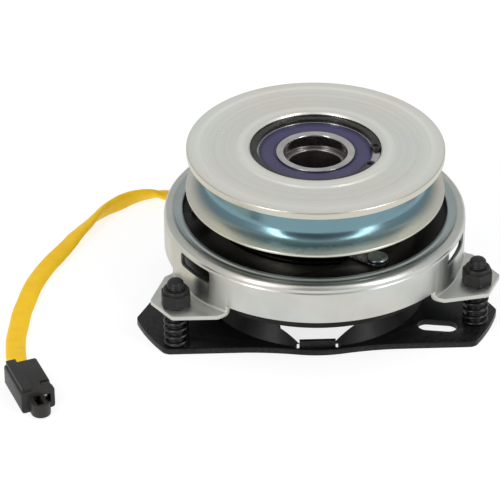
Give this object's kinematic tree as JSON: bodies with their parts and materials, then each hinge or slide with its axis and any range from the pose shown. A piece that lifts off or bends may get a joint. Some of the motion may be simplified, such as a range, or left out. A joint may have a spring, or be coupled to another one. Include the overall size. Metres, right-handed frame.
{
  "type": "electromagnetic clutch",
  "caption": "Electromagnetic clutch with a belt pulley over a sprung brake ring and coil plate, and a keyed bore through the hub for the engine's crankshaft.",
  "frame": {"origin": "centre of the crankshaft bore at the lower end face of the rotor hub, on the engine side", "axes": "+Z along the bore from the mounting plate to the pulley; +X to the right with the plate's straight front edge facing -Y"},
  "size_m": [0.2338, 0.1933, 0.0812],
  "materials": {
    "black_plate": "black electro-coated steel sheet, satin",
    "shell_steel": "machined magnetic steel",
    "bobbin_plastic": "glass-filled nylon",
    "copper_wire": "enamelled copper wire",
    "potting_resin": "cast resin",
    "bearing_steel": "ground bearing steel, bright",
    "cage_steel": "pressed steel",
    "seal_rubber": "dark purple moulded rubber seal",
    "black_fastener": "black oxide steel",
    "spring_steel": "black spring steel",
    "black_rubber": "matt black rubber",
    "lead_insulation": "wire insulation",
    "yellow_sleeve": "bright yellow flexible sleeve, satin",
    "plug_plastic": "moulded nylon, satin black",
    "terminal_brass": "tinned brass",
    "hub_steel": "sintered steel",
    "rotor_steel": "pressed magnetic steel",
    "friction_lining": "moulded friction material",
    "zinc_pulley": "zinc-plated steel, light grey faces and an iridescent blue-green groove",
    "rivet_steel": "steel rivet",
    "leaf_steel": "spring steel strap",
    "armature_steel": "dark phosphated steel",
    "zinc_brake": "zinc-plated pressed steel, semi-gloss",
    "nylon": "nylon locking insert"
  },
  "bodies": {
    "field": {"field_plate": "black_plate", "field_shell": "shell_steel", "coil_bobbin": "bobbin_plastic", "coil_winding": "copper_wire", "coil_potting": "potting_resin", "field_bearing_outer": "bearing_steel", "field_bearing_seals": "seal_rubber", "studs": "black_fastener", "brake_springs": "spring_steel", "lead_grommet": "black_rubber", "coil_leads": "lead_insulation", "lead_sleeve": "yellow_sleeve", "plug_housing": "plug_plastic", "plug_lock": "plug_plastic", "plug_terminals": "terminal_brass"},
    "field_bearing_train": {"field_bearing_balls": "bearing_steel", "field_bearing_cage": "cage_steel"},
    "rotor": {"rotor_hub": "hub_steel", "rotor_disc": "rotor_steel", "rotor_lining": "friction_lining", "field_bearing_inner": "bearing_steel", "pulley_bearing_inner": "bearing_steel"},
    "pulley_bearing_train": {"pulley_bearing_balls": "bearing_steel", "pulley_bearing_cage": "cage_steel"},
    "pulley": {"pulley": "zinc_pulley", "pulley_bearing_outer": "bearing_steel", "pulley_bearing_seals": "seal_rubber", "snap_ring": "black_fastener", "pulley_rivets": "rivet_steel", "leaf_springs": "leaf_steel"},
    "armature": {"armature_plate": "armature_steel", "armature_rivets": "rivet_steel"},
    "brake": {"brake_plate": "zinc_brake"},
    "nut_left": {"lock_nut_left": "black_fastener", "nut_insert_left": "nylon"},
    "nut_right": {"lock_nut_right": "black_fastener", "nut_insert_right": "nylon"},
    "nut_rear": {"lock_nut_rear": "black_fastener", "nut_insert_rear": "nylon"}
  },
  "joints": [
    {"name": "rotor_spin", "type": "hinge", "parent": "field", "child": "rotor", "pos_m": [0, 0, 0.024], "axis": [0, 0, 1], "continuous": true},
    {"name": "field_bearing_train_spin", "type": "hinge", "parent": "field", "child": "field_bearing_train", "pos_m": [0, 0, 0.024], "axis": [0, 0, 1], "continuous": true},
    {"name": "pulley_spin", "type": "hinge", "parent": "rotor", "child": "pulley", "pos_m": [0, 0, 0.069], "axis": [0, 0, 1], "continuous": true},
    {"name": "pulley_bearing_train_spin", "type": "hinge", "parent": "rotor", "child": "pulley_bearing_train", "pos_m": [0, 0, 0.069], "axis": [0, 0, 1], "continuous": true},
    {"name": "armature_pull", "type": "slide", "parent": "pulley", "child": "armature", "axis": [0, 0, 1], "range_m": [-0.0004, 0], "stiffness_N_per_m": 30000, "springref_m": 0.0005, "deforming": ["leaf_springs"]},
    {"name": "brake_adjust", "type": "slide", "parent": "field", "child": "brake", "axis": [0, 0, 1], "range_m": [0, 0.0015], "deforming": ["brake_springs"]},
    {"name": "nut_left_turn", "type": "hinge", "parent": "brake", "child": "nut_left", "pos_m": [-0.0675, -0.04726, 0.0247], "axis": [0, 0, 1], "range_deg": [0, 433]},
    {"name": "nut_right_turn", "type": "hinge", "parent": "brake", "child": "nut_right", "pos_m": [0.07468, -0.03482, 0.0247], "axis": [0, 0, 1], "range_deg": [0, 433]},
    {"name": "nut_rear_turn", "type": "hinge", "parent": "brake", "child": "nut_rear", "pos_m": [-0.00718, 0.08209, 0.0247], "axis": [0, 0, 1], "range_deg": [0, 433]}
  ],
  "couplings": [
    {"joint": "field_bearing_train_spin", "follows": "rotor_spin", "ratio": 0.419},
    {"joint": "pulley_bearing_train_spin", "follows": "pulley_spin", "ratio": 0.603},
    {"joint": "nut_left_turn", "follows": "brake_adjust", "rad_per_m": 5026.5},
    {"joint": "nut_right_turn", "follows": "brake_adjust", "rad_per_m": 5026.5},
    {"joint": "nut_rear_turn", "follows": "brake_adjust", "rad_per_m": 5026.5}
  ]
}
